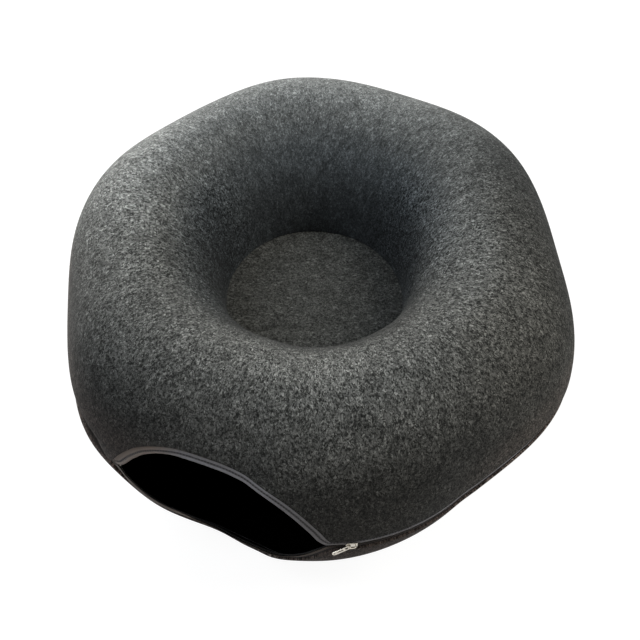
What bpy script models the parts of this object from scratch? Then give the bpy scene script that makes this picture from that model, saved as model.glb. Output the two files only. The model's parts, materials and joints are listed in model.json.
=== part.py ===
"""Donut cat tunnel of charcoal felt.

Two moulded felt half shells meet round the equator of a thick ring and are zipped
together there. A felt floor closes the centre of each half, so the top has a round
well to lie in, and the hollow ring between the shells is a tunnel. The zip is drawn
back over one stretch, and its lips stand apart there as the mouth of the tunnel.

Metres, +Z up. The model stands on z = 0, with the middle of its base at the origin.
Azimuths are counted from +X towards +Y, in degrees where they are typed.
"""
import math

import bpy
import numpy as np
from mathutils import Vector

MM = 0.001
OBJECT_NAME = "donut_cat_tunnel"

# The ring
ring_radius = 300 * MM
ring_height = 280 * MM
seam_height = 134 * MM
settle = 2.5 * MM
well_radius = 106 * MM
well_depth = 138.5 * MM
well_shift_x = -6 * MM
well_shift_y = 2 * MM
felt_thickness = 3.0 * MM
floor_thickness = 2.6 * MM
touch_gap = 0.3 * MM
rim_gap = 0.7 * MM

# The soft ring departs from a circle in waves: how many go round it, their height as a
# share of the radius, and the azimuth of a crest. The six rounded corners are the last row.
outline_wave_shares = [
    (2, 0.0098, 82.0),
    (3, 0.0039, 57.0),
    (4, 0.0028, -43.0),
    (6, 0.0242, 37.0),
]

# The mouth: from the left corner to the front of the zip slider
mouth_start = 224.4
mouth_end = 275.4
upper_lip_rise = 77 * MM
lower_lip_drop = 88 * MM
lower_slack = 16 * MM
slack_azimuth = 315.0
slack_half_span = 62.0
lower_flare = 4 * MM
flare_azimuth = 256.0
flare_half_span = 14.0

# How far each lip stands from the seam, as shares of its rise or drop, at shares of the mouth
upper_lip_shares = [
    (0.00, 0.00), (0.04, 0.11), (0.07, 0.28), (0.10, 0.45), (0.16, 0.70), (0.24, 0.87),
    (0.32, 0.96), (0.41, 0.99), (0.50, 1.00), (0.59, 0.97), (0.65, 0.91), (0.72, 0.82),
    (0.79, 0.64), (0.86, 0.34), (0.90, 0.09), (0.93, 0.00), (1.00, 0.00),
]
lower_lip_shares = [
    (0.00, 0.00), (0.04, 0.12), (0.09, 0.28), (0.15, 0.47), (0.22, 0.67), (0.31, 0.84),
    (0.42, 0.96), (0.52, 1.00), (0.62, 0.98), (0.70, 0.88), (0.77, 0.70), (0.84, 0.43),
    (0.90, 0.15), (0.94, 0.02), (1.00, 0.00),
]

# The zip
groove_width = 1.2 * MM
tape_visible = 12 * MM
tape_width = 18 * MM
tape_thickness = 0.8 * MM
tape_seat = 0.3 * MM
tape_end_gap = 1 * MM
coil_radius = 1.1 * MM
stop_radius = 1.3 * MM
stop_length = 3 * MM
thread_radius = 0.5 * MM
seam_inset = 3 * MM
felt_margin = 1 * MM

# The slider and its path, an arc of the seam that it runs along
slide_arc_radius = 212 * MM
slide_arc_middle = 279.5
slide_arc_half_span = 17.0
slide_arc_fade = 9.0
slider_azimuth = 276.5
slider_length = 12 * MM
slider_width = 9.2 * MM
slider_plate = 1.0 * MM
slider_clearance = 0.5 * MM
web_thickness = 0.5 * MM
web_length = 4 * MM
bail_radius = 0.6 * MM
bail_length = 8.2 * MM
pull_length = 20 * MM
pull_width = 6.5 * MM
pull_thickness = 1.0 * MM
pull_bar = 1.4 * MM
pull_eye_width = 3.8 * MM
pull_eye_length = 4.5 * MM
pull_slot_width = 2.2 * MM
pull_slot_length = 7 * MM
pull_hole_width = 2.6 * MM
pull_gap = 2 * MM
pull_droop = 24.0
pull_lean = 7.0
overrun = 0.4 * MM

# Facets
close_from = 220.0
close_to = 304.0
close_steps = 38
wide_steps = 44
shell_rows = 12
floor_sides = 64

UPPER, LOWER = 1, -1
lip_rise = {UPPER: upper_lip_rise, LOWER: lower_lip_drop}
lip_shares = {UPPER: upper_lip_shares, LOWER: lower_lip_shares}
floor_top = ring_height - well_depth
floor_base = floor_top - 2 * floor_thickness - touch_gap
tape_depth = felt_thickness + tape_seat
behind_tape = tape_depth + tape_thickness + touch_gap


def clear_scene():
    for old in list(bpy.data.objects):
        bpy.data.objects.remove(old, do_unlink=True)


def new_collection(name):
    collection = bpy.data.collections.new(name)
    bpy.context.scene.collection.children.link(collection)
    return collection


def finish(name, colour, roughness, metallic=0.0):
    """A plain Principled material."""
    material = bpy.data.materials.new(name)
    material.use_nodes = True
    shader = material.node_tree.nodes["Principled BSDF"]
    shader.inputs["Base Color"].default_value = (*colour, 1.0)
    shader.inputs["Roughness"].default_value = roughness
    shader.inputs["Metallic"].default_value = metallic
    return material


def smooth_curve(points, at):
    """A smooth line through hand-set points that never overshoots them."""
    x, y = np.array(points, dtype=float).T
    step = np.diff(x)
    slope = np.diff(y) / step
    tangent = np.zeros_like(x)
    rising = slope[:-1] * slope[1:] > 0
    total = slope[:-1] + slope[1:]
    tangent[1:-1] = np.where(rising, 2 * slope[:-1] * slope[1:] / np.where(rising, total, 1), 0)
    at = np.clip(at, x[0], x[-1])
    cell = np.clip(np.searchsorted(x, at, side="right") - 1, 0, len(step) - 1)
    t = (at - x[cell]) / step[cell]
    rise = y[cell + 1] - y[cell]
    start = tangent[cell] * step[cell]
    end = tangent[cell + 1] * step[cell]
    return y[cell] + start * t + (3 * rise - 2 * start - end) * t ** 2 + (start + end - 2 * rise) * t ** 3


def fade(distance, full, far):
    """1 up to `full`, 0 beyond `far`, and smooth between."""
    t = np.clip((far - distance) / (far - full), 0, 1)
    return t * t * (3 - 2 * t)


def within(azimuth, middle, far, full=0.0):
    """1 within `full` degrees of the middle azimuth and 0 beyond `far` degrees of it."""
    away = np.abs(np.angle(np.exp(1j * (azimuth - math.radians(middle)))))
    return fade(away, math.radians(full), math.radians(far))


def waved_radius(azimuth):
    """The seam's radius before the slider's arc is laid into it."""
    waves = [share * np.cos(count * (azimuth - math.radians(crest)))
             for count, share, crest in outline_wave_shares]
    return ring_radius * (1 + sum(waves))


def slide_arc_centre():
    """The centre of the slider's arc, square to the outline at the arc's middle."""
    middle = math.radians(slide_arc_middle)
    turn = math.radians(0.5)
    around = np.array([middle - turn, middle, middle + turn])
    radius = waved_radius(around)
    x, y = radius * np.cos(around), radius * np.sin(around)
    along = np.array([x[2] - x[0], y[2] - y[0]])
    outward = np.array([along[1], -along[0]]) / np.hypot(*along)
    return np.array([x[1], y[1]]) - slide_arc_radius * outward


def seam_radius(azimuth):
    """The seam's radius: the waved outline, and the slider's arc where the slider runs."""
    centre = slide_arc_centre()
    along = centre[0] * np.cos(azimuth) + centre[1] * np.sin(azimuth)
    arc = along + np.sqrt(slide_arc_radius ** 2 - centre @ centre + along ** 2)
    share = within(azimuth, slide_arc_middle, slide_arc_half_span + slide_arc_fade, slide_arc_half_span)
    return waved_radius(azimuth) * (1 - share) + arc * share


def mouth_share(azimuth):
    """Where an azimuth lies in the mouth, from 0 at its start to 1 at the slider."""
    start, end = math.radians(mouth_start), math.radians(mouth_end)
    turned = np.mod(azimuth - start + math.pi, 2 * math.pi) - math.pi
    return turned / (end - start)


def angle_at(arc, half):
    """The section angle that lies an arc length from the seam, on the mean section."""
    angle = np.linspace(0, math.pi, 721)
    width = (ring_radius - well_radius) / 2
    speed = np.hypot(width * np.sin(angle), section_rise(half) * np.cos(angle))
    length = np.concatenate([[0], np.cumsum((speed[1:] + speed[:-1]) / 2 * np.diff(angle))])
    return np.interp(arc, length, angle)


def section_rise(half):
    return ring_height - seam_height if half == UPPER else seam_height + settle


def ring_point(azimuth, angle, half, depth):
    """Points of the ring that lie `depth` under the felt's outer face.

    The section is half an ellipse: angle 0 is the seam, a quarter turn is the crown and
    a half turn is the wall of the well. The lower half is pressed flat where it rests,
    its free edge flares out a little in the mouth, and it hangs slack between zip and
    base at the right of the mouth.
    """
    outer = seam_radius(azimuth)
    if half == LOWER:
        outer = outer + lower_flare * within(azimuth, flare_azimuth, flare_half_span)
    width = (outer - well_radius) / 2
    rise = section_rise(half)
    normal_out = rise * np.cos(angle)
    normal_up = width * np.sin(angle)
    scale = depth / np.hypot(normal_out, normal_up)
    radius = (outer + well_radius) / 2 + width * np.cos(angle) - normal_out * scale
    up = rise * np.sin(angle) - normal_up * scale
    inward = (1 - np.cos(angle)) / 2
    if half == LOWER:
        slack = lower_slack * within(azimuth, slack_azimuth, slack_half_span)
        radius = radius - slack * np.clip(np.sin(2 * angle), 0, 1)
    x = radius * np.cos(azimuth) + well_shift_x * inward
    y = radius * np.sin(azimuth) + well_shift_y * inward
    z = np.maximum(seam_height + half * up, depth)
    return np.stack([x, y, z], axis=-1)


def free_edge(azimuth, half):
    """The arc length from the seam plane to the free edge of the zip tape."""
    return groove_width / 2 + lip_rise[half] * smooth_curve(lip_shares[half], mouth_share(azimuth))


def line_inside(azimuth, half, reach):
    """A line that keeps `reach` from the free edge, as a fabric seam runs along a curve."""
    near = np.linspace(-reach, reach, 61)
    beside = np.asarray(azimuth)[:, None] + near / ring_radius
    return np.max(free_edge(beside, half) + np.sqrt(reach ** 2 - near ** 2), axis=1)


def stations():
    """The azimuths of the facets: close at the mouth and the slider, wide elsewhere."""
    start, end = math.radians(close_from), math.radians(close_to)
    close = np.linspace(start, end, close_steps, endpoint=False)
    wide = np.linspace(end, start + 2 * math.pi, wide_steps, endpoint=False)
    return np.concatenate([close, wide])


def strip_stations(start, end):
    """The facets of a strip that begins and ends inside the ring."""
    turns = np.concatenate([stations(), stations() + 2 * math.pi])
    inner = turns[(turns > start + touch_gap / ring_radius) & (turns < end - touch_gap / ring_radius)]
    return np.concatenate([[start], inner, [end]])


def add_mesh(name, vertices, faces, material, collection):
    mesh = bpy.data.meshes.new(name)
    mesh.from_pydata(vertices, [], faces)
    mesh.update()
    mesh.materials.append(material)
    added = bpy.data.objects.new(name, mesh)
    collection.objects.link(added)
    return added


def felt_sheet(name, grid, closed, half, thickness, material, collection):
    """A curved sheet over a grid of points, made thick towards its inner side."""
    count, rows, _ = grid.shape
    last = count if closed else count - 1
    faces = []
    for i in range(last):
        for j in range(rows - 1):
            near, far = i * rows + j, (i + 1) % count * rows + j
            corners = [near, far, far + 1, near + 1]
            faces.append(corners if half == UPPER else corners[::-1])
    sheet = add_mesh(name, grid.reshape(-1, 3).tolist(), faces, material, collection)
    sheet.data.shade_smooth()
    solid = sheet.modifiers.new("Thickness", "SOLIDIFY")
    solid.thickness = thickness
    solid.offset = -1
    solid.use_even_offset = True
    return sheet


def add_tube(name, points, radius, material, collection, cyclic=False, resolution=0):
    """A round strand along a list of points, as a curve with a bevel."""
    curve = bpy.data.curves.new(name, "CURVE")
    curve.dimensions = "3D"
    spline = curve.splines.new("POLY")
    spline.points.add(len(points) - 1)
    for slot, point in zip(spline.points, points):
        slot.co = (*point, 1)
    spline.use_cyclic_u = cyclic
    curve.bevel_depth = radius
    curve.bevel_resolution = resolution
    curve.use_fill_caps = True
    curve.materials.append(material)
    tube = bpy.data.objects.new(name, curve)
    collection.objects.link(tube)
    return tube


def add_plate(name, loops, thickness, material, collection):
    """A flat plate: outlines in the plane of Y and Z, thick along X about x = 0."""
    curve = bpy.data.curves.new(name, "CURVE")
    curve.dimensions = "2D"
    curve.fill_mode = "BOTH"
    curve.extrude = thickness / 2
    for loop in loops:
        spline = curve.splines.new("POLY")
        spline.points.add(len(loop) - 1)
        for slot, (along, across) in zip(spline.points, loop):
            slot.co = (along, across, 0, 1)
        spline.use_cyclic_u = True
    drawn = bpy.data.objects.new(name + "_outline", curve)
    collection.objects.link(drawn)
    bpy.context.view_layer.update()
    evaluated = drawn.evaluated_get(bpy.context.evaluated_depsgraph_get())
    mesh = bpy.data.meshes.new_from_object(evaluated)
    bpy.data.objects.remove(drawn, do_unlink=True)
    for vertex in mesh.vertices:
        along, across, height = vertex.co
        vertex.co = (height, along, across)
    mesh.materials.clear()
    mesh.materials.append(material)
    plate = bpy.data.objects.new(name, mesh)
    collection.objects.link(plate)
    weld = plate.modifiers.new("Weld", "WELD")
    weld.merge_threshold = touch_gap / 30
    return plate


def add_block(name, size, centre, material, collection):
    bpy.ops.mesh.primitive_cube_add(size=1, location=centre)
    block = bpy.context.object
    block.name = name
    block.data.materials.append(material)
    for vertex in block.data.vertices:
        vertex.co = [value * side for value, side in zip(vertex.co, size)]
    for owner in list(block.users_collection):
        owner.objects.unlink(block)
    collection.objects.link(block)
    return block


def rounded_loop(low, high, half_width, radius, steps=4):
    """A long outline with rounded corners, from `low` to `high` along the first axis."""
    corners = [(high - radius, half_width - radius, 0), (low + radius, half_width - radius, 90),
               (low + radius, radius - half_width, 180), (high - radius, radius - half_width, 270)]
    loop = []
    for along, across, start in corners:
        for step in range(steps + 1):
            turn = math.radians(start + 90 * step / steps)
            loop.append((along + radius * math.cos(turn), across + radius * math.sin(turn)))
    return loop


def add_empty(name, location, parent, collection):
    empty = bpy.data.objects.new(name, None)
    empty.location = location
    empty.parent = parent
    collection.objects.link(empty)
    return empty


def union(base, *others):
    """Joins touching pieces into one solid; the others stay as hidden cutters."""
    for other in others:
        join = base.modifiers.new("Join " + other.name, "BOOLEAN")
        join.operation = "UNION"
        join.object = other
        other.hide_render = True
        other.display_type = "WIRE"


def section_rows(margin, rim, half):
    """Section angles from the tape's hidden edge to the well; the base has rows of its own."""
    rows = np.linspace(margin, rim, shell_rows)
    if half == LOWER:
        base = math.asin(seam_height / section_rise(half))
        beside = (shell_rows - 1) // 2
        outside = np.linspace(margin, np.full_like(margin, base), beside + 1)
        inside = np.linspace(np.full_like(margin, math.pi - base), rim, beside + 1)
        rows = np.concatenate([outside, inside])
    return rows.T


def shell_grid(half):
    """The outer face of a half shell, from its zipped edge over the crown to the well."""
    azimuth = stations()
    edge = angle_at(line_inside(azimuth, half, tape_visible), half)
    margin = angle_at(line_inside(azimuth, half, tape_width + felt_margin), half)
    rim_height = floor_top - seam_height if half == UPPER else seam_height - floor_base
    rim = math.pi - math.asin((rim_height + rim_gap) / section_rise(half))
    rows = section_rows(margin, np.full_like(margin, rim), half)
    return ring_point(azimuth[:, None], np.column_stack([edge, rows]), half, 0)


def tape_grid(half):
    """The outer face of a zip tape: free edge, felt edge and hidden edge."""
    start = math.radians(mouth_start) - 2 * tape_end_gap / ring_radius
    azimuth = strip_stations(start, start + 2 * math.pi - tape_end_gap / ring_radius)
    lines = [free_edge(azimuth, half)]
    lines += [line_inside(azimuth, half, reach) for reach in (tape_visible, tape_width)]
    angle = angle_at(np.stack(lines, axis=1), half)
    return ring_point(azimuth[:, None], angle, half, tape_depth)


def seam_path(half, start, end, reach, radius):
    """The middle line of a strand that lies behind the tape, `reach` from its free edge."""
    azimuth = strip_stations(start, end)
    angle = angle_at(line_inside(azimuth, half, reach), half)
    return ring_point(azimuth, angle, half, behind_tape + radius)


def half_cover(half, label, felt, tape, coil, thread, metal, root, collection):
    """One half of the cover: shell, floor, zip tape, coil, end stop and the sewn seams."""
    shell = felt_sheet(label + "_shell", shell_grid(half), True, half, felt_thickness, felt, collection)
    band = felt_sheet(label + "_zip_tape", tape_grid(half), False, half, tape_thickness, tape, collection)

    floor_middle = floor_top - floor_thickness / 2 if half == UPPER else floor_base + floor_thickness / 2
    bpy.ops.mesh.primitive_cylinder_add(
        vertices=floor_sides, radius=well_radius + felt_thickness, depth=floor_thickness,
        location=(well_shift_x, well_shift_y, floor_middle))
    floor = bpy.context.object
    floor.name = label + "_well_floor"
    floor.data.materials.append(felt)
    for owner in list(floor.users_collection):
        owner.objects.unlink(floor)
    collection.objects.link(floor)

    first = math.radians(mouth_start) + touch_gap / ring_radius
    second = first + stop_length / ring_radius
    third = second + touch_gap / ring_radius
    last = math.radians(mouth_start) + 2 * math.pi - (3 * tape_end_gap + stop_length) / ring_radius
    end_stop = add_tube(label + "_end_stop", seam_path(half, first, second, coil_radius, stop_radius),
                        stop_radius, metal, collection, resolution=1)
    teeth = add_tube(label + "_zip_coil", seam_path(half, third, last, coil_radius, coil_radius),
                     coil_radius, coil, collection, resolution=1)
    tape_start = math.radians(mouth_start) - tape_end_gap / ring_radius
    seam = add_tube(label + "_tape_stitching",
                    seam_path(half, tape_start, tape_start + 2 * math.pi - 3 * tape_end_gap / ring_radius,
                              tape_visible + seam_inset, thread_radius),
                    thread_radius, thread, collection)

    ring = well_radius + felt_thickness + tape_seat + thread_radius
    joint_height = floor_top if half == UPPER else floor_base
    turn = np.arange(floor_sides) * 2 * math.pi / floor_sides
    circle = [(well_shift_x + ring * math.cos(t), well_shift_y + ring * math.sin(t), joint_height)
              for t in turn]
    floor_seam = add_tube(label + "_floor_stitching", circle, thread_radius, thread, collection, cyclic=True)

    for piece in (shell, band, floor, end_stop, teeth, seam, floor_seam):
        piece.parent = root


def start_stop(metal, root, collection):
    """The stop that holds both chains together where the zip begins."""
    azimuth = math.radians(mouth_start) - (2 * tape_end_gap + stop_length) / ring_radius
    radius = seam_radius(azimuth) - behind_tape - coil_radius
    size = (2 * coil_radius, stop_length / 2, 4 * coil_radius + groove_width)
    centre = (radius * math.cos(azimuth), radius * math.sin(azimuth), seam_height)
    stop = add_block("zip_start_stop", size, centre, metal, collection)
    stop.rotation_euler.z = azimuth
    bevel = stop.modifiers.new("Bevel", "BEVEL")
    bevel.width = coil_radius / 3
    bevel.segments = 2
    stop.parent = root


def slider_outline():
    """Half outline of a slider plate: broad shoulders at the front, narrow at the back."""
    shares = [(-0.50, 0.28), (-0.38, 0.50), (-0.12, 0.50), (0.20, 0.40), (0.44, 0.40), (0.50, 0.32)]
    side = [(slider_length * along, slider_width * across) for along, across in shares]
    return side + [(along, -across) for along, across in reversed(side)]


def slider_parts(metal, pivot, reach, collection, cutters):
    """The slider: two plates joined by a thin web that runs in the zip's groove, and its bail."""
    outer_face = slider_clearance + slider_plate
    inner_face = -(tape_thickness + touch_gap + 2 * coil_radius + slider_clearance)
    body = add_plate("zip_slider", [slider_outline()], slider_plate, metal, collection)
    body.location = (reach + outer_face - slider_plate / 2, 0, 0)
    inner = add_plate("slider_inner_plate_blank", [slider_outline()], slider_plate, metal, cutters)
    inner.location = (reach + inner_face - slider_plate / 2, 0, 0)
    web_reach = slider_clearance - inner_face + 2 * overrun
    web_middle = (slider_clearance + inner_face) / 2
    web = add_block("slider_web_blank", (web_reach, web_length, web_thickness),
                    (reach + web_middle, (web_length - slider_length) / 2 + slider_plate, 0), metal, cutters)
    union(body, inner, web)

    bar_room = math.hypot(pull_thickness, pull_bar) / 2 + touch_gap
    top = outer_face + 2 * bar_room + bail_radius
    foot = outer_face + touch_gap
    end = bail_length / 2
    shoulder = end - bail_radius
    bail_points = [(reach + x, y, 0) for x, y in (
        (foot, -end), (top - bail_radius, -end), (top, -shoulder),
        (top, shoulder), (top - bail_radius, end), (foot, end))]
    bail = add_tube("slider_bail", bail_points, bail_radius, metal, collection, resolution=2)
    for piece in (body, bail, inner, web):
        piece.parent = pivot
    return outer_face + bar_room, -(end - bail_radius - bar_room)


def pull_part(metal, pivot, collection):
    """The pull: a slotted tab whose cross bar runs under the bail."""
    bar = pull_bar / 2
    half = pull_width / 2
    eye_end = bar + pull_eye_length
    slot_start = eye_end + pull_gap
    slot_end = slot_start + pull_slot_length
    hole_end = pull_length - bar
    tab = rounded_loop(-pull_length, bar, half, bar)
    eye = rounded_loop(-eye_end, -bar, pull_eye_width / 2, bar)
    slot = rounded_loop(-slot_end, -slot_start, pull_slot_width / 2, pull_slot_width / 2)
    hole = rounded_loop(-hole_end, pull_hole_width - hole_end, pull_hole_width / 2, pull_hole_width / 2)
    pull = add_plate("pull_tab", [tab, eye, slot, hole], pull_thickness, metal, collection)
    pull.parent = pivot
    return pull


def stand_on_origin(root, collection):
    """Moves the model so that the middle of its base is the origin."""
    bpy.context.view_layer.update()
    depsgraph = bpy.context.evaluated_depsgraph_get()
    corners = []
    for piece in collection.objects:
        if piece.type != "EMPTY":
            evaluated = piece.evaluated_get(depsgraph)
            mesh = evaluated.to_mesh()
            corners += [evaluated.matrix_world @ vertex.co for vertex in mesh.vertices]
            evaluated.to_mesh_clear()
    low = [min(corner[axis] for corner in corners) for axis in range(3)]
    high = [max(corner[axis] for corner in corners) for axis in range(3)]
    root.location -= Vector(((low[0] + high[0]) / 2, (low[1] + high[1]) / 2, low[2]))
    bpy.context.view_layer.update()


clear_scene()
parts = new_collection(OBJECT_NAME)
blanks = new_collection("cutters")

felt = finish("charcoal_felt", (0.055, 0.056, 0.058), 0.95)
tape = finish("zip_tape", (0.10, 0.10, 0.115), 0.8)
coil = finish("zip_coil", (0.05, 0.05, 0.055), 0.45)
thread = finish("sewing_thread", (0.06, 0.06, 0.065), 0.7)
metal = finish("plated_zinc", (0.62, 0.61, 0.58), 0.3, 1.0)

root = add_empty("ring_base", (0, 0, 0), None, parts)
half_cover(LOWER, "lower", felt, tape, coil, thread, metal, root, parts)
half_cover(UPPER, "upper", felt, tape, coil, thread, metal, root, parts)
start_stop(metal, root, parts)

arc_x, arc_y = slide_arc_centre()
slider_radius = float(seam_radius(np.array(math.radians(slider_azimuth))))
slider_x = slider_radius * math.cos(math.radians(slider_azimuth)) - arc_x
slider_y = slider_radius * math.sin(math.radians(slider_azimuth)) - arc_y
slider_pivot = add_empty("slider_pivot", (arc_x, arc_y, seam_height), root, parts)
slider_pivot.rotation_euler.z = math.atan2(slider_y, slider_x)
tape_reach = slide_arc_radius - tape_depth
pull_out, pull_along = slider_parts(metal, slider_pivot, tape_reach, parts, blanks)

pull_pivot = add_empty("pull_pivot", (tape_reach + pull_out, pull_along, 0), slider_pivot, parts)
pull_pivot.rotation_euler.x = math.radians(pull_droop)
pull = pull_part(metal, pull_pivot, parts)
pull.rotation_euler.z = math.radians(pull_lean)

stand_on_origin(root, parts)
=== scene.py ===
import json
import math

import bmesh
import bpy
import numpy as np
from mathutils import Matrix, Vector


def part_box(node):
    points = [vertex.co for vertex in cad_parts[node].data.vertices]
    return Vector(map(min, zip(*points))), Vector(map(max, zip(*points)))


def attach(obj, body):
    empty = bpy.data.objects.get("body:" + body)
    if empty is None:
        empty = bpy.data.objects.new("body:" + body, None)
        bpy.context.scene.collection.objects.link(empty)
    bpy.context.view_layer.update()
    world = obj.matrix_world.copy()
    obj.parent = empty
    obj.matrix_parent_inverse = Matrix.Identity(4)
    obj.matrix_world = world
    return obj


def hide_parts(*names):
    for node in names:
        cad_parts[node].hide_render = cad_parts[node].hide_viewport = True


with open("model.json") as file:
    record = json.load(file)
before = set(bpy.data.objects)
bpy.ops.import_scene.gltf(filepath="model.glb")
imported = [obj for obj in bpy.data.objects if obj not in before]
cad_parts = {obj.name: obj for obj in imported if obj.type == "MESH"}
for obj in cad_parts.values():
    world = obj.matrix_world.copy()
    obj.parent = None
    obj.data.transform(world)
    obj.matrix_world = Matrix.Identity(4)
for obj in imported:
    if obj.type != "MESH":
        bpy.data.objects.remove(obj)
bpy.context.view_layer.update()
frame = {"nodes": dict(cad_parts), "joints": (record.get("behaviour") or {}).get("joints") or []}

# The two half shells. Each is one sheet of charcoal heather needle felt, 3 mm thick, that was
# hot pressed over a ring mould, so its fibres are drawn out from the rim towards the well.
# The cut edges meet round the middle of the ring, where a zip tape is sewn behind each.
MM = 0.001
UPPER, LOWER = 1, -1
ring_radius = 300 * MM
ring_height = 280 * MM
seam_height = 134 * MM
settle = 2.5 * MM
well_radius = 106 * MM
well_shift = np.array([-6 * MM, 2 * MM])
floor_top = 141.5 * MM
floor_base = 136.0 * MM
rim_gap = 0.7 * MM
felt_thickness = 3.0 * MM
outline_wave_shares = [(2, 0.0098, 82.0), (3, 0.0039, 57.0), (4, 0.0028, -43.0), (6, 0.0242, 37.0)]
slide_arc_radius = 212 * MM
slide_arc_middle = 279.5
slide_arc_half_span = 17.0
slide_arc_fade = 9.0
lower_slack = 16 * MM
slack_azimuth = 315.0
slack_half_span = 62.0
corner_slack = 5.2 * MM
corner_azimuth = 222.0
corner_half_span = 12.0
wall_lean = 4.5 * MM
wall_azimuth = 222.0
wall_half_span = 125.0
wall_full_span = 35.0
wall_fade = (1.9, 2.7)
lower_flare = 4 * MM
flare_azimuth = 256.0
flare_half_span = 14.0
mouth_start = 224.4
mouth_end = 275.4
groove_width = 1.2 * MM
lip_rise = {UPPER: 77 * MM, LOWER: 88 * MM}
lip_shares = {
    UPPER: [(0.00, 0.00), (0.04, 0.11), (0.07, 0.28), (0.10, 0.45), (0.16, 0.70), (0.24, 0.87),
            (0.32, 0.96), (0.41, 0.99), (0.50, 1.00), (0.59, 0.97), (0.65, 0.91), (0.72, 0.82),
            (0.79, 0.64), (0.86, 0.34), (0.90, 0.09), (0.93, 0.00), (1.00, 0.00)],
    LOWER: [(0.00, 0.00), (0.04, 0.12), (0.09, 0.28), (0.15, 0.47), (0.22, 0.67), (0.31, 0.84),
            (0.42, 0.96), (0.52, 1.00), (0.62, 0.98), (0.70, 0.88), (0.77, 0.70), (0.84, 0.43),
            (0.90, 0.15), (0.94, 0.02), (1.00, 0.00)],
}
lip_lean = 7 * MM
lean_reach = 20 * MM
lean_shares = [(0.00, 0.00), (0.05, 0.42), (0.11, 0.60), (0.18, 0.50), (0.26, 0.22), (0.34, 0.05),
               (0.42, 0.06), (0.49, 0.22), (0.56, 0.27), (0.63, 0.18), (0.69, 0.08), (0.76, 0.00),
               (1.00, 0.00)]
seam_valley = 7.0 * MM
valley_azimuth = 210.0
valley_half_span = 14.5
valley_full_span = 5.0
valley_width = {UPPER: 36 * MM, LOWER: 13 * MM}
tape_visible = 12 * MM
close_start = 218.0
close_end = 284.0

floor_low, floor_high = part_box("upper_well_floor")
ring_shift = np.array([(floor_low.x + floor_high.x) / 2, (floor_low.y + floor_high.y) / 2]) - well_shift


def smooth_curve(points, at):
    """Cubic pieces through the points, with the harmonic mean of the slopes on either side as
    the slope at each point and 0 at a turn, so the line never overshoots them."""
    x, y = np.array(points, dtype=float).T
    step = np.diff(x)
    slope = np.diff(y) / step
    tangent = np.zeros_like(x)
    rising = slope[:-1] * slope[1:] > 0
    total = slope[:-1] + slope[1:]
    tangent[1:-1] = np.where(rising, 2 * slope[:-1] * slope[1:] / np.where(rising, total, 1), 0)
    at = np.clip(at, x[0], x[-1])
    cell = np.clip(np.searchsorted(x, at, side="right") - 1, 0, len(step) - 1)
    t = (at - x[cell]) / step[cell]
    rise = y[cell + 1] - y[cell]
    start, end = tangent[cell] * step[cell], tangent[cell + 1] * step[cell]
    return y[cell] + start * t + (3 * rise - 2 * start - end) * t ** 2 + (start + end - 2 * rise) * t ** 3


def smooth_step(t):
    """0 up to t = 0, 1 from t = 1 on, and three t squared less two t cubed between."""
    t = np.clip(t, 0, 1)
    return t * t * (3 - 2 * t)


def within(azimuth, middle, far, full=0.0):
    """1 within full degrees of the middle azimuth, 0 beyond far degrees, a smooth step between."""
    away = np.abs(np.angle(np.exp(1j * (azimuth - math.radians(middle)))))
    return smooth_step((math.radians(far) - away) / math.radians(far - full))


def ease(from_one, to_nought, at):
    """1 up to the first value, 0 from the second on, a smooth step between."""
    return smooth_step((to_nought - at) / (to_nought - from_one))


def waved_radius(azimuth):
    """The ring's radius times one plus a sum of cosines, each with its count of waves."""
    waves = [share * np.cos(count * (azimuth - math.radians(crest)))
             for count, share, crest in outline_wave_shares]
    return ring_radius * (1 + sum(waves))


def slide_arc_centre():
    """The point one arc radius behind the outline, square to it at the middle of the arc."""
    around = np.radians(slide_arc_middle) + np.radians([-0.5, 0, 0.5])
    x, y = waved_radius(around) * np.cos(around), waved_radius(around) * np.sin(around)
    outward = np.array([y[2] - y[0], x[0] - x[2]])
    return np.array([x[1], y[1]]) - slide_arc_radius * outward / np.hypot(*outward)


def seam_radius(azimuth):
    """The waved outline, crossfaded to the true arc along which the zip's slider runs."""
    centre = slide_arc_centre()
    along = centre[0] * np.cos(azimuth) + centre[1] * np.sin(azimuth)
    arc = along + np.sqrt(slide_arc_radius ** 2 - centre @ centre + along ** 2)
    share = within(azimuth, slide_arc_middle, slide_arc_half_span + slide_arc_fade, slide_arc_half_span)
    return waved_radius(azimuth) * (1 - share) + arc * share


def section_rise(half):
    return ring_height - seam_height if half == UPPER else seam_height + settle


def mean_section(half):
    """Angles of the mean half ellipse, and the arc length from the seam to each."""
    angle = np.linspace(0, math.pi, 721)
    width = (ring_radius - well_radius) / 2
    speed = np.hypot(width * np.sin(angle), section_rise(half) * np.cos(angle))
    return angle, np.concatenate([[0], np.cumsum((speed[1:] + speed[:-1]) / 2 * np.diff(angle))])


def angle_at(arc, half):
    angle, length = mean_section(half)
    return np.interp(arc, length, angle)


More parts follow.
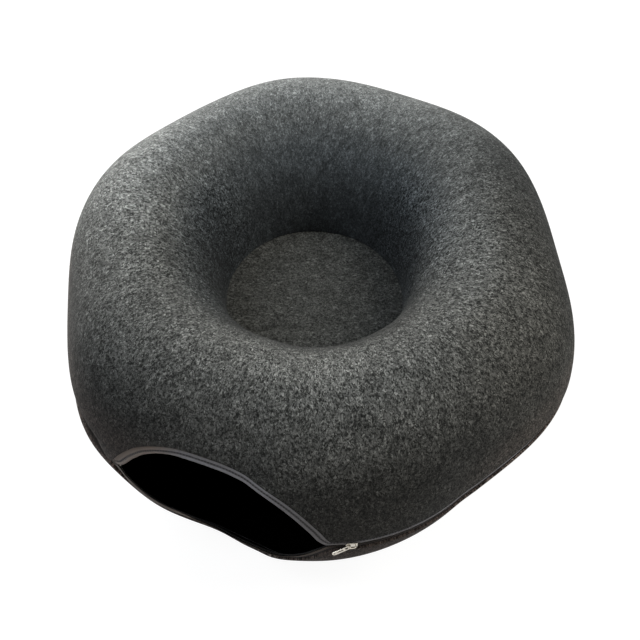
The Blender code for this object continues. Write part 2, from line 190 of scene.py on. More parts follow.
def ring_point(azimuth, angle, half, depth):
    """A point of the ring: half an ellipse in section, from the seam over the crown to the
    well, carried round the outline and set in by a depth along the ellipse's own normal.
    The lower half flares a little at the mouth, hangs slack beside it and its lip leans out,
    most at the edge. The soft wall of the well leans in at the left and the front, and the
    zip draws the seam in at the left, by a valley that rises smoothly on both sides."""
    outer = seam_radius(azimuth)
    if half == LOWER:
        outer = outer + lower_flare * within(azimuth, flare_azimuth, flare_half_span)
    width = (outer - well_radius) / 2
    rise = section_rise(half)
    normal_out = rise * np.cos(angle)
    normal_up = width * np.sin(angle)
    scale = depth / np.hypot(normal_out, normal_up)
    radius = (outer + well_radius) / 2 + width * np.cos(angle) - normal_out * scale
    up = rise * np.sin(angle) - normal_up * scale
    inward = (1 - np.cos(angle)) / 2
    angles, length = mean_section(half)
    arc = np.interp(angle, angles, length)
    valley = seam_valley * within(azimuth, valley_azimuth, valley_half_span, valley_full_span)
    radius = radius - valley * smooth_step(1 - arc / valley_width[half])
    if half == LOWER:
        slack = (lower_slack * within(azimuth, slack_azimuth, slack_half_span)
                 + corner_slack * within(azimuth, corner_azimuth, corner_half_span))
        lean = lip_lean * smooth_curve(lean_shares, mouth_share(azimuth))
        near_lip = smooth_step(1 - (arc - free_edge(azimuth, half)) / lean_reach)
        radius = radius - slack * np.clip(np.sin(2 * angle), 0, 1) + lean * near_lip
    else:
        drawn_in = wall_lean * within(azimuth, wall_azimuth, wall_half_span, wall_full_span)
        radius = radius - drawn_in * (1 - ease(*wall_fade, angle))
    x = radius * np.cos(azimuth) + well_shift[0] * inward + ring_shift[0]
    y = radius * np.sin(azimuth) + well_shift[1] * inward + ring_shift[1]
    z = np.maximum(seam_height + half * up, depth)
    return np.stack(np.broadcast_arrays(x, y, z), axis=-1)


def mouth_share(azimuth):
    start, end = math.radians(mouth_start), math.radians(mouth_end)
    return (np.mod(azimuth - start + math.pi, 2 * math.pi) - math.pi) / (end - start)


def free_edge(azimuth, half):
    """Arc length from the seam to the tape's free edge: half the groove, plus the lip."""
    return groove_width / 2 + lip_rise[half] * smooth_curve(lip_shares[half], mouth_share(azimuth))


def line_inside(azimuth, half, reach):
    """The outer rim of all discs of radius reach whose centres run along the free edge."""
    reach = np.atleast_1d(reach)[None, :, None]
    near = np.linspace(-1, 1, 61)[None, None, :] * reach
    edge = free_edge(np.asarray(azimuth)[:, None, None] + near / ring_radius, half)
    return np.max(edge + np.sqrt(np.maximum(reach ** 2 - near ** 2, 0)), axis=2)


def around_ring(close, wide):
    """Azimuths round the ring, set closer in the mouth and at the slider than elsewhere."""
    start, end = math.radians(close_start), math.radians(close_end)
    return np.concatenate([np.linspace(start, end, close, endpoint=False),
                           np.linspace(end, start + 2 * math.pi, wide, endpoint=False)])


def grid_faces(count, rows, closed_along, closed_across):
    """Quads between neighbouring points of a grid numbered station by station."""
    i = np.arange(count if closed_along else count - 1)[:, None]
    j = np.arange(rows if closed_across else rows - 1)[None, :]
    i_next, j_next = (i + 1) % count, (j + 1) % rows
    quads = [i * rows + j, i_next * rows + j, i_next * rows + j_next, i * rows + j_next]
    return np.stack(np.broadcast_arrays(*quads), axis=-1).reshape(-1, 4)


def make_mesh(name, points, faces, materials, slots=None, **layers):
    """A mesh from whole arrays: the points, and one array of faces or a list of arrays with
    unlike counts of corners. If its signed volume, the sum of the corner products of its
    triangles, is below 0, every face is turned over, so that all faces point outwards. Each
    layer gives a vector of three numbers or a colour of four for every point."""
    points = np.asarray(points, dtype=float).reshape(-1, 3)
    groups = faces if isinstance(faces, list) else [faces]
    volume = 0
    for group in groups:
        corner = points[group]
        for k in range(1, group.shape[1] - 1):
            volume += np.einsum("ij,ij->", corner[:, 0], np.cross(corner[:, k], corner[:, k + 1]))
    if volume < 0:
        groups = [group[:, ::-1] for group in groups]
    mesh = bpy.data.meshes.new(name)
    mesh.from_pydata(points.tolist(), [], [face for group in groups for face in group.tolist()])
    mesh.shade_smooth()
    for material in materials:
        mesh.materials.append(material)
    if slots is not None:
        mesh.polygons.foreach_set("material_index", np.asarray(slots, dtype=np.int32))
    for layer_name, values in layers.items():
        kind, key = ("FLOAT_VECTOR", "vector") if values.shape[-1] == 3 else ("FLOAT_COLOR", "color")
        layer = mesh.attributes.new(layer_name, kind, "POINT")
        layer.data.foreach_set(key, np.asarray(values, dtype=np.float32).ravel())
    return mesh


def add_piece(name, mesh):
    piece = bpy.data.objects.new(name, mesh)
    bpy.context.scene.collection.objects.link(piece)
    return piece


def linear(code):
    """An sRGB hex colour as linear light."""
    parts = [int(code[k:k + 2], 16) / 255 for k in (0, 2, 4)]
    return (*(v / 12.92 if v <= 0.04045 else ((v + 0.055) / 1.055) ** 2.4 for v in parts), 1.0)


def add_node(tree, kind, sockets=None, **settings):
    """Adds a node, sets its properties, and sets or links each socket that is named."""
    made = tree.nodes.new(kind)
    for key, value in settings.items():
        setattr(made, key, value)
    for key, value in (sockets or {}).items():
        if isinstance(value, bpy.types.NodeSocket):
            tree.links.new(value, made.inputs[key])
        else:
            made.inputs[key].default_value = value
    return made


def new_finish(name, **values):
    """A material with one shader, whose even values are set on its own sockets."""
    material = bpy.data.materials.new(name)
    material.use_nodes = True
    shader = material.node_tree.nodes["Principled BSDF"]
    for key, value in values.items():
        shader.inputs[key.replace("_", " ")].default_value = value
    return material, material.node_tree, shader


def needle_felt(name, dark, light, hair, gloss, drawn_share):
    """Needle-punched polyester felt: black and grey staple fibres mixed before carding, so
    the colour is a fine salt-and-pepper heather, a little drawn out, with hardly any gloss.
    The real fibre is 0.02 mm thick, so the clumps are drawn 1.2 mm wide to show at all, and
    the drawn share is their width for their length. The attribute tone carries factors of
    the colour that hold painted light and shade, and as its fourth number how clear the
    heather is where the fibres are brushed out."""
    material, tree, shader = new_finish(name, Roughness=0.96, Sheen_Weight=0.03 * gloss, Sheen_Roughness=0.5)
    shader.inputs["Specular IOR Level"].default_value = 0.12 * gloss
    lay = add_node(tree, "ShaderNodeAttribute", attribute_name="lay").outputs["Vector"]
    tone = add_node(tree, "ShaderNodeAttribute", attribute_name="tone")
    drawn = add_node(tree, "ShaderNodeMapping", {"Vector": lay, "Scale": (1, 1, drawn_share)})
    streak = add_node(tree, "ShaderNodeTexNoise", {
        "Vector": drawn.outputs[0], "Scale": 470.0, "Detail": 2.0, "Roughness": 0.65, "Distortion": 1.2})
    speckle = add_node(tree, "ShaderNodeTexNoise", {
        "Vector": lay, "Scale": 330.0, "Detail": 3.0, "Roughness": 0.72})
    mixed = add_node(tree, "ShaderNodeMix", {0: 0.42, 2: streak.outputs[0], 3: speckle.outputs[0]})
    spread = add_node(tree, "ShaderNodeMapRange", {
        "Value": mixed.outputs[0], "From Min": 0.407, "From Max": 0.629}, interpolation_type="SMOOTHSTEP")
    about_mean = add_node(tree, "ShaderNodeMath", {0: spread.outputs[0], 1: 0.45}, operation="SUBTRACT")
    cleared = add_node(tree, "ShaderNodeMath", {0: about_mean.outputs[0], 1: tone.outputs["Alpha"], 2: 0.45},
                       operation="MULTIPLY_ADD")
    heather = add_node(tree, "ShaderNodeMix", {
        0: cleared.outputs[0], 6: linear(dark), 7: linear(light)}, data_type="RGBA")
    fine = add_node(tree, "ShaderNodeMapping", {"Vector": lay, "Scale": (1, 1, 0.3), "Location": (3, 1, 2)})
    strand = add_node(tree, "ShaderNodeTexNoise", {
        "Vector": fine.outputs[0], "Scale": 520.0, "Detail": 1.0, "Roughness": 0.5, "Distortion": 1.2})
    loose = add_node(tree, "ShaderNodeMapRange", {
        "Value": strand.outputs[0], "From Min": 0.57, "From Max": 0.72, "To Max": 0.75})
    seen = add_node(tree, "ShaderNodeMath", {0: loose.outputs[0], 1: tone.outputs["Alpha"]},
                    operation="MULTIPLY")
    haired = add_node(tree, "ShaderNodeMix", {
        0: seen.outputs[0], 6: heather.outputs[2], 7: linear(hair)}, data_type="RGBA")
    cloud = add_node(tree, "ShaderNodeTexNoise", {
        "Vector": drawn.outputs[0], "Scale": 92.0, "Detail": 2.0, "Roughness": 0.8})
    shade = add_node(tree, "ShaderNodeMapRange", {
        "Value": cloud.outputs[0], "From Min": 0.3, "From Max": 0.7, "To Min": 0.66, "To Max": 1.34})
    # The tone multiplies painted light and shade into the colour.
    toned = add_node(tree, "ShaderNodeVectorMath", {0: haired.outputs[2], 1: tone.outputs["Color"]},
                     operation="MULTIPLY")
    clouded = add_node(tree, "ShaderNodeVectorMath", {0: toned.outputs[0], "Scale": shade.outputs[0]},
                       operation="SCALE")
    tree.links.new(clouded.outputs[0], shader.inputs["Base Color"])
    bump = add_node(tree, "ShaderNodeBump", {
        "Height": mixed.outputs[0], "Strength": 0.55, "Distance": 1.2 * MM})
    tree.links.new(bump.outputs[0], shader.inputs["Normal"])
    return material


outer_felt = needle_felt("pressed_needle_felt", "242524", "717270", "a5a6a3", 1, 0.24)
# The inside of the tunnel wears the same felt painted near black with no gloss: painted shade of the unlit
# tunnel.
inner_felt = needle_felt("felt_inside_painted_near_black", "020202", "060606", "090909", 0, 0.4)


def felt_lay(azimuth, arc):
    """Where a point of felt lay before pressing: the distance drawn in from the rim, and the
    place round a circle that narrows by half of it, so that the streaks run to the well."""
    radius = ring_radius - 0.5 * arc
    return np.stack(np.broadcast_arrays(radius * np.cos(azimuth), radius * np.sin(azimuth), arc), axis=-1)


def soft_dents(azimuth, arc):
    """Low swells of the pressed sheet, 0.7 mm at most: a sum of products of a sine round the
    ring and one along the section."""
    swell = (0.9 * np.sin(5 * azimuth + 0.7) * np.sin(arc * 17 + 1.1)
             + 0.7 * np.sin(9 * azimuth + 2.1) * np.sin(arc * 29 + 0.4)
             + 0.5 * np.sin(14 * azimuth + 4.0 + arc * 9) * np.sin(arc * 41 + 2.2))
    return 0.35 * MM * swell


# The painted light and shade of the felt by the angle of its section, lighter over the crown
# and darker down into the well, and the patches that change it: a strength, the middle azimuth
# with its far and full degrees, and the angles over which the patch fades in and out. One that
# starts at the seam or runs on to the well has no fade there. The corner is the left one of the
# mouth, which the lower half alone has lighter.
painted_light_and_shade_by_angle = [(0.0, 0.84), (0.25, 0.80), (0.6, 0.70), (0.95, 0.90), (1.3, 1.06), (1.65, 1.19),
                 (2.0, 1.09), (2.35, 0.84), (2.7, 0.50), (3.2, 0.42)]
from_seam = (-2.0, -1.0)
to_well = (8.0, 9.0)
# Painted light and shade: lighter at the back left where the light falls, darker on the walls of the well and
# low in front.
painted_light_and_shade_patches = [
    (0.70, (112.0, 88.0, 38.0), from_seam, (1.5, 2.3)),
    (0.20, (155.0, 34.0, 12.0), from_seam, (1.9, 2.4)),
    (0.25, (178.0, 40.0, 12.0), (1.1, 1.6), (1.75, 2.3)),
    (-0.27, (10.0, 34.0, 14.0), from_seam, (1.5, 1.9)),
    (-0.47, (203.0, 45.0, 22.0), from_seam, (0.5, 1.15)),
    (-0.36, (286.0, 32.0, 12.0), from_seam, (0.55, 0.9)),
    (-0.14, (312.0, 36.0, 15.0), (1.4, 1.8), to_well),
    (-0.52, (264.0, 68.0, 30.0), (1.95, 2.35), to_well),
    (-0.30, (12.0, 55.0, 30.0), (2.2, 2.7), to_well),
    (-0.34, (172.0, 38.0, 15.0), (2.0, 2.5), to_well),
    (0.45, (335.0, 34.0, 12.0), (2.4, 2.8), to_well),
]
# A painted bluish cast of shade, deepest in the well.
painted_cool_shade_patches = [
    (0.35, (78.0, 125.0, 25.0), from_seam, to_well),
    (0.65, (78.0, 125.0, 25.0), (1.8, 2.4), to_well),
    (0.45, (185.0, 60.0, 20.0), (1.9, 2.4), to_well),
    (-0.30, (345.0, 50.0, 15.0), from_seam, (1.4, 1.8)),
]
dust_patches = {
    UPPER: [(1.3, (203.0, 45.0, 22.0), from_seam, (0.25, 0.75)),
            (0.7, (335.0, 45.0, 20.0), from_seam, (0.2, 0.5))],
    LOWER: [(1.4, (290.0, 85.0, 45.0), from_seam, (0.4, 1.0)),
            (1.2, (217.0, 20.0, 12.0), from_seam, (0.4, 0.8))],
}
corner_patches = [(0.9, (217.0, 20.0, 12.0), from_seam, (0.4, 0.8))]
clear_patches = [
    (-0.47, (88.0, 95.0, 35.0), (0.6, 1.1), to_well),
    (0.60, (180.0, 60.0, 30.0), (2.0, 2.4), to_well),
    (0.60, (0.0, 60.0, 30.0), (2.0, 2.4), to_well),
]


def patch_sum(patches, azimuth, angle):
    """The sum of the patches, each its strength times its step round the ring times its two
    steps along the section."""
    return sum(strength * within(azimuth, *place) * (1 - ease(*fade_in, angle)) * ease(*fade_out, angle)
               for strength, place, fade_in, fade_out in patches)


def felt_colour_and_painted_light(azimuth, angle, half):
    """Red, green and blue factors of the felt's colour, and the clearness of its heather.
    They carry painted light and shade: lighter over the crown, most at the back left, where
    the light falls, and darker and bluer deep in the well as painted shade. Low on the outside
    it is dusty. At the back the brushed-out fibres blur the heather."""
    painted_light = 1 + patch_sum(painted_light_and_shade_patches, azimuth, angle)
    cool_shade = patch_sum(painted_cool_shade_patches, azimuth, angle)
    dust = patch_sum(dust_patches[half], azimuth, angle)
    if half == LOWER:
        painted_light = 1.1 * painted_light * (1 + patch_sum(corner_patches, azimuth, angle))
        cool_shade, dust = 0 * cool_shade, 0.3 + dust
    # Painted light and shade by the section's angle, times the painted light and shade patches.
    grey = smooth_curve(painted_light_and_shade_by_angle, angle) * painted_light
    clear = 1.05 + patch_sum(clear_patches, azimuth, angle)
    return np.stack([grey * (1 - 0.05 * cool_shade + 0.14 * dust), grey * (1 + 0.05 * cool_shade - 0.02 * dust),
                     grey * (1 + 0.18 * cool_shade - 0.06 * dust), clear], axis=-1)


# How far the felt laps further over its tape, and the painted shade in the crease beside its
# edge: the lap or the depth of the painted shade, its place round the ring, and its fade from the edge.
felt_laps = {UPPER: [(10.5 * MM, (172.0, 53.4, 50.4))],
             LOWER: [(10.0 * MM, (172.0, 53.0, 49.0)), (7.4 * MM, (300.0, 56.0, 42.0)),
                     (3.4 * MM, (265.5, 9.0, 5.5))]}
painted_crease_shade = {UPPER: (0.6, (300.0, 62.0, 40.0), (0.3 * MM, 4 * MM)),
                LOWER: (0.9, (207.0, 17.0, 13.0), (3 * MM, 6.6 * MM))}
dent_fade = 30 * MM


def half_shell(name, half):
    """A closed sheet. Its section is one loop: out over the outer face, round the trimmed
    edge at the well, back along the inner face, and round the zipped edge, each corner a
    quarter circle of 1 mm. The loop is carried round the azimuths of the ring. The dents fade
    out beside both edges and under the base that is pressed flat."""
    azimuth = around_ring(230, 330)
    angle, length = mean_section(half)
    drop = floor_top - seam_height if half == UPPER else seam_height - floor_base
    rim = np.interp(math.pi - math.asin((drop + rim_gap) / section_rise(half)), angle, length)
    edge = line_inside(azimuth, half, tape_visible)[:, 0]
    for lap, place in felt_laps[half]:
        edge = edge - lap * within(azimuth, *place)
    edge = edge[:, None]
    rows, inner_rows = 58, 30
    corner, thick = 1.0 * MM, felt_thickness
    turn = np.radians([22.5, 45, 67.5, 90])
    away, back = corner * np.sin(turn), corner * (1 - np.cos(turn))
    turned = corner * (1 - np.sin(turn))
    flat = np.ones(turn.size)
    face_share = np.concatenate([[0, 0.005, 0.012], np.linspace(0.022, 1, rows - 3)])
    share = np.concatenate([face_share, flat, flat[1:], np.linspace(1, 0, inner_rows), 0 * flat,
                            0 * flat[1:]])
    inset = np.concatenate([corner * (1 - 2 * face_share), away - corner, -back[:-1],
                            np.linspace(-corner, corner, inner_rows), turned, back[:-1]])
    depth = np.concatenate([np.zeros(rows), back, thick - turned[:-1], np.full(inner_rows, thick),
                            thick - back, turned[:-1]])
    arc = edge + share * (rim - edge) + inset
    dent = soft_dents(azimuth[:, None], arc) * smooth_step(np.minimum(arc - edge, rim - arc) / dent_fade)
    if half == LOWER:
        dent = dent * np.clip(1 - np.sin(angle_at(arc, half)), 0, 1)
    points = ring_point(azimuth[:, None], angle_at(arc, half), half, depth + dent)
    count, loop = arc.shape
    first_inner = rows + 2 * turn.size - 1
    index = np.arange(loop)
    inside = np.tile((index >= first_inner) & (index < first_inner + inner_rows), count)
    # Felt colour factors that carry painted light and shade, and the heather's clearness.
    tone = felt_colour_and_painted_light(azimuth[:, None], angle_at(arc, half), half)
    # Painted shade: the felt is darkened in the crease beside its zipped edge.
    deep, place, fade = painted_crease_shade[half]
    crease = within(azimuth, *place)[:, None] * ease(*fade, arc - edge)
    tone[:, :, :3] *= 1 - deep * crease[:, :, None]
    # The inner faces take the felt painted near black, as painted shade.
    mesh = make_mesh(name, points, grid_faces(count, loop, True, True), [outer_felt, inner_felt],
                     inside, lay=felt_lay(azimuth[:, None], arc + depth * 0.5), tone=tone)
    return add_piece(name, mesh)


upper_felt = half_shell("upper_felt_shell", UPPER)
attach(upper_felt, "upper_half")
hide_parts("upper_shell")
lower_felt = half_shell("lower_felt_shell", LOWER)
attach(lower_felt, "lower_half")
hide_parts("lower_shell")

# The two well floors. Each is a round of the same felt, 2.6 mm thick, cut with a soft edge and
# sewn under the rim of its half shell. The upper one is what the cat lies on: it is a little
# trodden down in low swells.
floor_thickness = 2.6 * MM
floor_radius = well_radius + felt_thickness
tread_depth = 1.2 * MM
tread_swell = 0.45 * MM
tread_margin = 6 * MM
tread_fade = 40 * MM


def floor_swell(x, y):
    return np.sin(x * 61 + 0.8) * np.sin(y * 53 + 2.0) + 0.6 * np.sin(x * 97 + y * 71 + 1.0)


def well_floor(name, base, top_face):
    """Rings of points from the middle of the upper face, round a rounded rim and back to the
    middle of the lower face, closed by one point at each pole. The upper face sinks by a
    low dome and swells by products of sines, both of which vanish at the rim."""
    sides, corner = 192, 0.9 * MM
    flat = floor_radius - corner
    turn = np.radians([0, 22.5, 45, 67.5, 90])
    out = np.linspace(0, 1, 42)[1:] ** 0.9 * flat
    radius = np.concatenate([out, flat + corner * np.sin(turn[1:]), flat + corner * np.cos(turn),
                             out[::-1][1:]])
    high = np.concatenate([np.full(out.size, floor_thickness),
                           floor_thickness - corner * (1 - np.cos(turn[1:])),
                           corner * (1 - np.sin(turn)), np.zeros(out.size - 1)])
    azimuth = np.arange(sides)[:, None] * 2 * math.pi / sides
    x, y = radius * np.cos(azimuth), radius * np.sin(azimuth)
    near = smooth_step((well_radius - tread_margin - np.hypot(x, y)) / tread_fade)
    z = base + high + top_face * near * (tread_swell * floor_swell(x, y) - tread_depth)
    middle = well_shift + ring_shift
    grid = np.stack(np.broadcast_arrays(x + middle[0], y + middle[1], z), axis=-1).reshape(-1, 3)
    pole = base + top_face * (tread_swell * floor_swell(0, 0) - tread_depth)
    points = np.concatenate([grid, [[*middle, pole + floor_thickness], [*middle, pole]]])
    rows = radius.size
    first = np.arange(sides) * rows
    after = np.roll(first, -1)
    top = np.stack([after, first, np.full(sides, sides * rows)], axis=1)
    bottom = np.stack([first + rows - 1, after + rows - 1, np.full(sides, sides * rows + 1)], axis=1)
    faces = [grid_faces(sides, rows, True, False), np.concatenate([top, bottom])]
    lay = points[:, [1, 2, 0]] * np.array([1, 0, 1.5]) + np.array([0.7, 0.4, 0.1])
    tone = np.tile(floor_tone, (len(points), 1))
    return add_piece(name, make_mesh(name, points, faces, [floor_felt], lay=lay, tone=tone))


# The floor is even in tone, a little greener than the shell, and its heather is trodden dull.
floor_tone = np.array([0.94, 0.965, 0.95, 0.85])
floor_felt = needle_felt("trodden_needle_felt", "2a2928", "6b6a67", "8f8e8a", 1, 0.5)
well_bed = well_floor("well_bed", floor_top - floor_thickness, 1.0)
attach(well_bed, "upper_half")
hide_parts("upper_well_floor")
well_underside = well_floor("well_underside", floor_base, 0.0)
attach(well_underside, "lower_half")
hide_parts("lower_well_floor")

# The zip's two tapes. Each is a band of woven polyester, 18 mm wide, sewn behind the felt's
# cut edge so that 12 mm of it shows. A row of chain stitches runs along it, and in the mouth
# its free half rolls inwards a little.
tape_width = 18 * MM
tape_thickness = 0.8 * MM
tape_seat = 0.3 * MM
touch_gap = 0.3 * MM
tape_end_gap = 1 * MM
tape_depth = felt_thickness + tape_seat
behind_tape = tape_depth + tape_thickness + touch_gap
chain_reach = 5.2 * MM
chain_groove = 0.25 * MM
chain_groove_width = 0.55 * MM
roll_depth = 2.2 * MM
roll_azimuth = 233.0
roll_half_span = 9.0
roll_full_span = 3.0
shut_edge = 6 * MM
edge_round = 0.2 * MM
edge_pattern = 0.3 * MM
station_gap = 0.5 * MM


def tape_sink(azimuth, reach):
    """How far a tape lies under its plain depth: the roll of its free half at the left of the
    mouth, a square of the distance beyond the chain stitches, and their shallow groove."""
    rolled = roll_depth * within(azimuth, roll_azimuth, roll_half_span, roll_full_span)
    groove = chain_groove * np.exp(-((reach - chain_reach) / chain_groove_width) ** 2)
    return rolled * np.clip(1 - reach / chain_reach, 0, 1) ** 2 + groove


def travelled(path):
    """The length of a path up to each of its points."""
    return np.concatenate([[0], np.cumsum(np.linalg.norm(np.diff(path, axis=0), axis=1))])


def woven_tape(name, dark, light, dusty):
    """Woven polyester zip tape: a twill of 0.4 mm yarns in grey dye, matt with a faint sheen.
    The ribs along it are drawn 1.1 mm apart, because the real yarns are too fine to show.
    It is dark in the line of the chain stitches. The attribute marks gives a painted shade line
    along the closed edge, where the tape is dusty brown from being handled, and a painted shade
    that darkens it: black on its back, towards the dark inside of the tunnel, where it also
    loses its gloss, and darker along the right of the lower tape."""
    material, tree, shader = new_finish(name, Roughness=0.72, Sheen_Roughness=0.4)
    uv = add_node(tree, "ShaderNodeUVMap", uv_map="band").outputs[0]
    marks = add_node(tree, "ShaderNodeAttribute", attribute_name="marks").outputs["Vector"]
    marked = add_node(tree, "ShaderNodeSeparateXYZ", {0: marks})
    for key, most in (("Specular IOR Level", 0.3), ("Sheen Weight", 0.1)):
        gleam = add_node(tree, "ShaderNodeMath", {0: marked.outputs[2], 1: most}, operation="MULTIPLY")
        tree.links.new(gleam.outputs[0], shader.inputs[key])
    split = add_node(tree, "ShaderNodeSeparateXYZ", {0: uv})
    rib = add_node(tree, "ShaderNodeMath", {0: split.outputs[1], 1: 2 * math.pi / (1.1 * MM)},
                   operation="MULTIPLY")
    ridge = add_node(tree, "ShaderNodeMath", {0: rib.outputs[0]}, operation="SINE")
    twill = add_node(tree, "ShaderNodeTexWave", {
        "Vector": uv, "Scale": 900.0, "Distortion": 1.0, "Detail": 2.0, "Detail Scale": 1.5},
        bands_direction="DIAGONAL")
    grain = add_node(tree, "ShaderNodeTexNoise", {"Vector": uv, "Scale": 380.0, "Detail": 3.0})
    weave = add_node(tree, "ShaderNodeMath", {0: ridge.outputs[0], 1: 0.5, 2: twill.outputs["Fac"]},
                     operation="MULTIPLY_ADD")
    cloth = add_node(tree, "ShaderNodeMath", {0: grain.outputs[0], 1: 1.6, 2: weave.outputs[0]},
                     operation="MULTIPLY_ADD")
    spread = add_node(tree, "ShaderNodeMapRange", {
        "Value": cloth.outputs[0], "From Min": 0.3, "From Max": 2.2})
    dye_and_painted_shade = add_node(tree, "ShaderNodeMix", {
        0: spread.outputs[0], 6: linear(dark), 7: linear(light)}, data_type="RGBA")
    dusted = add_node(tree, "ShaderNodeMix", {
        0: marked.outputs[1], 6: dye_and_painted_shade.outputs[2], 7: linear(dusty)}, data_type="RGBA")
    # A dark line along the chain stitches: partly the needle holes' own dark, partly painted shade of their
    # groove.
    from_chain = add_node(tree, "ShaderNodeMath", {0: split.outputs[1], 1: chain_reach}, operation="SUBTRACT")
    beside_chain = add_node(tree, "ShaderNodeMath", {0: from_chain.outputs[0]}, operation="ABSOLUTE")
    chain_line = add_node(tree, "ShaderNodeMapRange", {
        "Value": beside_chain.outputs[0], "From Min": 1.0 * MM, "From Max": 1.9 * MM, "To Min": 0.3})
    edge_line = add_node(tree, "ShaderNodeMapRange", {
        "Value": split.outputs[1], "From Min": 2.4 * MM, "From Max": 3.4 * MM, "To Min": 0.04})
    edge_shade = add_node(tree, "ShaderNodeMix", {0: marked.outputs[0], 2: 1.0, 3: edge_line.outputs[0]})
    lines = add_node(tree, "ShaderNodeMath", {0: chain_line.outputs[0], 1: edge_shade.outputs[0]},
                     operation="MULTIPLY")
    shaded = add_node(tree, "ShaderNodeMath", {0: lines.outputs[0], 1: marked.outputs[2]},
                      operation="MULTIPLY")
    lined = add_node(tree, "ShaderNodeVectorMath", {0: dusted.outputs[2], "Scale": shaded.outputs[0]},
                     operation="SCALE")
    tree.links.new(lined.outputs[0], shader.inputs["Base Color"])
    bump = add_node(tree, "ShaderNodeBump", {
        "Height": weave.outputs[0], "Strength": 0.4, "Distance": 0.3 * MM})
    tree.links.new(bump.outputs[0], shader.inputs["Normal"])
    return material


# The places across a tape where its section has a point, closest by the chain stitches, and
# its marks: the painted shade line of the lower tape where the zip is shut, the dust beside the left
# corner of the mouth and along the right, the painted shade there, and how light the back is
# painted: near black, as painted shade of the dark tunnel.
across = np.array([0.0, 0.6, 1.6, 2.8, 3.8, 4.3, 4.8, 5.2, 5.6, 6.1, 6.6, 8.4, 10.2, 12.0, 15.0, 18.0]) * MM
shut_line = {UPPER: 0.0, LOWER: 1.0}
right_side = (300.0, 66.0, 50.0)
painted_right_shade = {UPPER: 0.0, LOWER: 0.5}
tape_dust = {UPPER: [(0.75, (224.0, 17.0, 9.0))], LOWER: [(0.7, (232.0, 18.0, 8.0)), (0.9, right_side)]}
painted_back_lightness = 0.03


def zip_tape(name, half, body, node, cloth):
    """A band: its section is a flat loop, out along the outer face from the free edge to the
    hidden edge and back along the inner face, carried along the free edge round the ring. Its
    pattern is laid by the distance along and across, and goes on a little round both edges."""
    start = math.radians(mouth_start) - 2 * tape_end_gap / ring_radius
    end = start + 2 * math.pi - tape_end_gap / ring_radius
    once = around_ring(260, 460)
    turns = np.concatenate([once, once + 2 * math.pi])
    clear = station_gap / ring_radius
    inner = turns[(turns > start + clear) & (turns < end - clear)]
    azimuth = np.concatenate([[start], inner, [end]])
    arc = line_inside(azimuth, half, np.maximum(across, 1e-6))
    angle = angle_at(arc, half)
    sink = tape_sink(azimuth[:, None], across[None, :])
    round_off = np.where((across > 0) & (across < tape_width), 0, edge_round)
    face = ring_point(azimuth[:, None], angle, half, tape_depth + sink + round_off)
    back = ring_point(azimuth[:, None], angle, half, tape_depth + tape_thickness + sink - round_off)
    points = np.concatenate([face, back[:, ::-1]], axis=1)
    count, loop = points.shape[:2]
    faces = grid_faces(count, loop, False, True)
    half_loop = loop // 2
    j = np.arange(half_loop - 1)
    first = np.stack([j, j + 1, loop - 2 - j, loop - 1 - j], axis=1)
    last = first[:, ::-1] + (count - 1) * loop
    faces = np.concatenate([faces, first, last])
    # The shut line, the right side's darkening and the black back are painted shade; the dust is the tape's
    # own.
    shut = shut_line[half] * np.clip(1 - free_edge(azimuth, half) / shut_edge, 0, 1)
    dust = sum(strength * within(azimuth, *place) for strength, place in tape_dust[half])
    front = np.where(np.arange(loop) < half_loop, 1.0, painted_back_lightness)
    dye_and_painted_shade = front * (1 - painted_right_shade[half] * within(azimuth, *right_side)[:, None])
    marks = np.stack(np.broadcast_arrays(shut[:, None], dust[:, None], dye_and_painted_shade), axis=-1)
    piece = add_piece(name, make_mesh(name, points, faces, [cloth], marks=marks))
    grid_uv = np.zeros((count, loop, 2))
    grid_uv[:, :, 0] = travelled(face[:, 0])[:, None]
    grid_uv[:, :, 1] = np.concatenate([across, across[::-1] + edge_pattern])
    corner = np.zeros(len(piece.data.loops), dtype=np.int32)
    piece.data.loops.foreach_get("vertex_index", corner)
    band = piece.data.uv_layers.new(name="band")
    band.data.foreach_set("uv", grid_uv.reshape(-1, 2)[corner].astype(np.float32).ravel())
    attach(piece, body)
    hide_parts(node)


# The lower tape wears a darker copy of the upper tape's cloth: painted shade, as it faces down.
upper_cloth = woven_tape("woven_polyester_tape", "74747a", "bebec6", "a8968a")
lower_cloth = woven_tape("shaded_polyester_tape", "5c5c60", "97979b", "8a7d72")
zip_tape("upper_woven_tape", UPPER, "upper_half", "upper_zip_tape", upper_cloth)
zip_tape("lower_woven_tape", LOWER, "lower_half", "lower_zip_tape", lower_cloth)

# The sewing. Chain stitches of dark spun polyester hold the teeth to each tape, a second row
# holds the tape to the felt from behind, and a third row goes round each well floor. The ends
# are how far round, in radians, a row starts and stops from the zip's start.
thread_radius = 0.5 * MM
seam_inset = 3 * MM
stitch_gap = 3.4 * MM
chain_stitch = 2.1 * MM
chain_thickness = 0.95 * MM
chain_lift = 0.15 * MM
tape_stitch = 3.0 * MM
floor_stitch = 3.1 * MM
floor_stitches = 190
zip_start = math.radians(mouth_start)
chain_ends = (0.01, -0.03)
seam_ends = (-0.002, -0.012)


